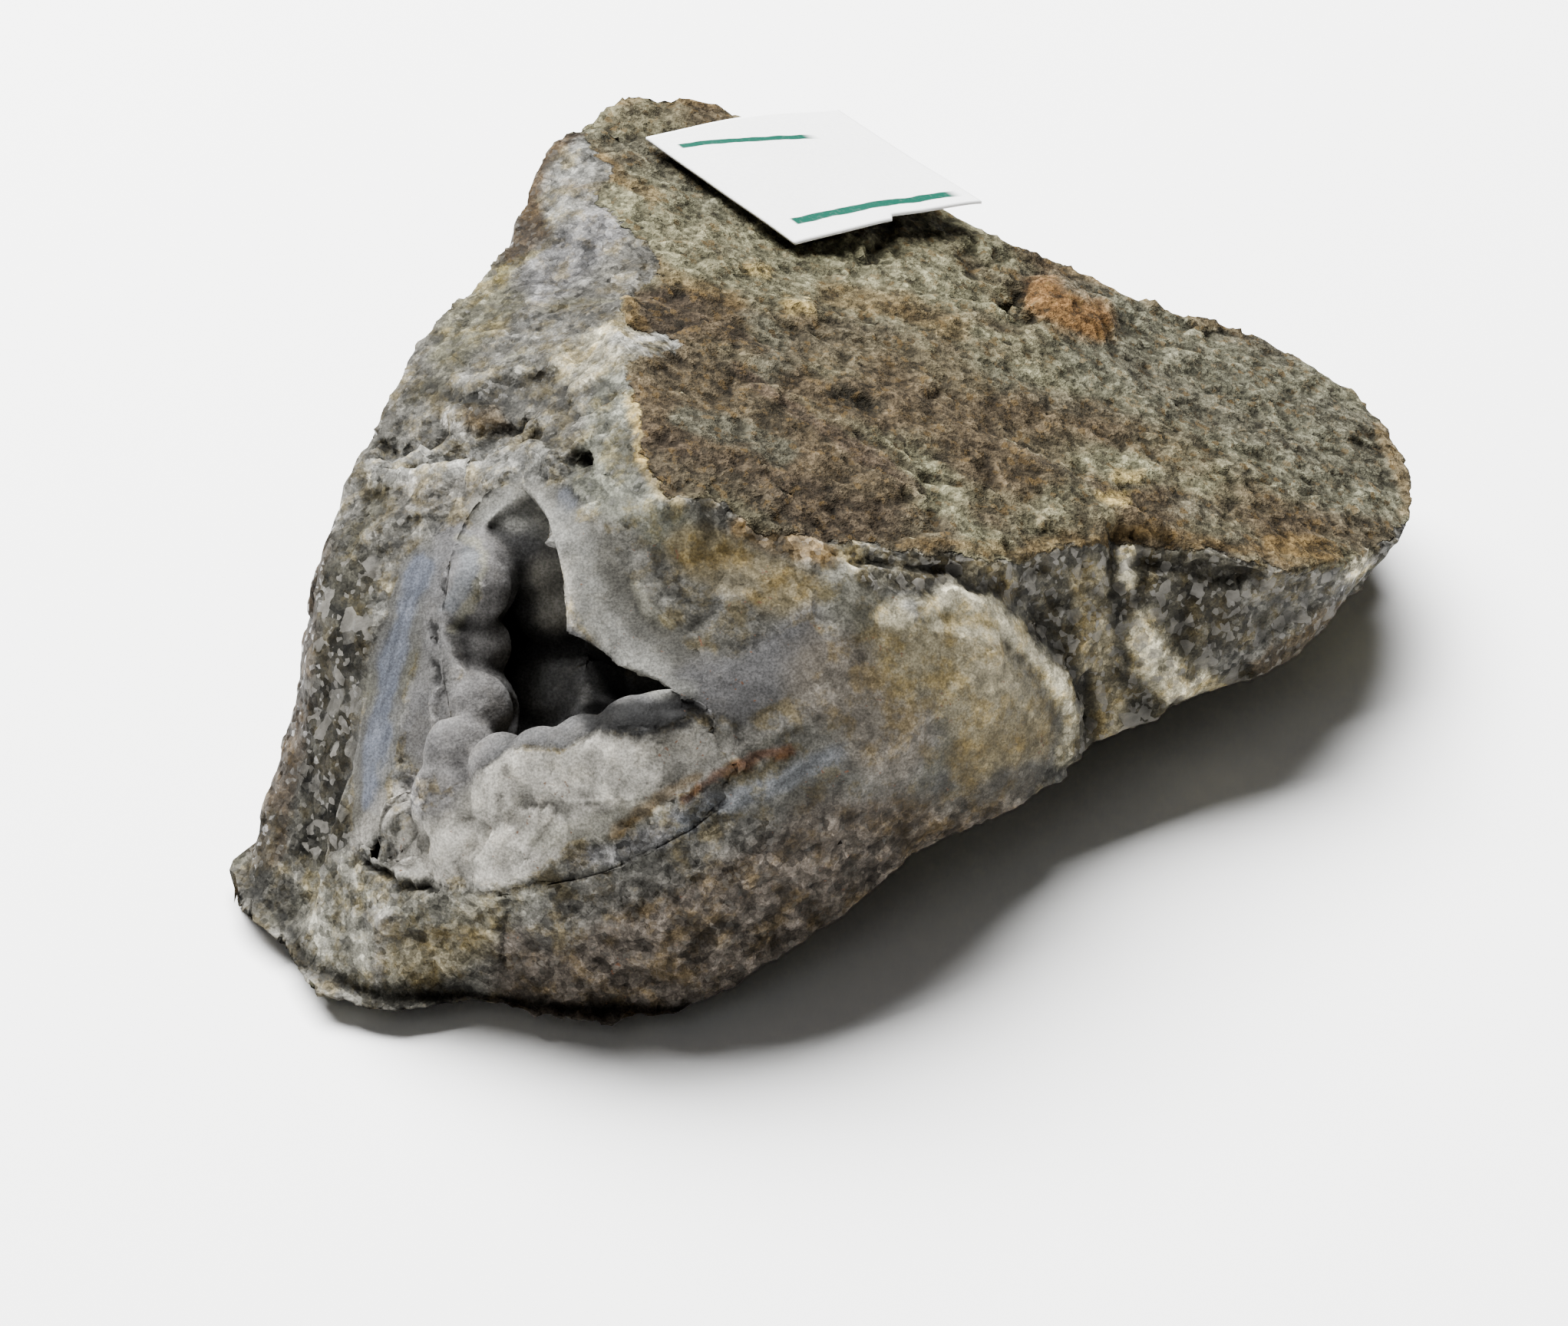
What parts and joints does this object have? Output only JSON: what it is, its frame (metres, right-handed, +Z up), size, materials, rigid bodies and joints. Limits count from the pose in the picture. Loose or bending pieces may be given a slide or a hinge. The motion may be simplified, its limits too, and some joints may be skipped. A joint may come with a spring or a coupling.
{
  "type": "blue lace agate specimen",
  "caption": "Wedge-shaped agate vein hand specimen in host rock, with an open vug lined by botryoidal chalcedony and a paper label on top.",
  "frame": {"origin": "on the surface the stone rests on, below the middle of its bounding box", "axes": "+Z up, -Y the broken front with the hollow, +X towards the thin right tip, +Y along the stone's length to its back"},
  "size_m": [0.0638, 0.0752, 0.0265],
  "materials": {
    "stone": "rough weathered host rock and broken grey-white vein",
    "chalcedony": "waxy grey-white rounded crust",
    "label_paper": "matt white paper with two green lines"
  },
  "bodies": {
    "root": {"stone": "stone", "chalcedony_crust": "chalcedony", "paper_label": "label_paper"}
  },
  "joints": []
}
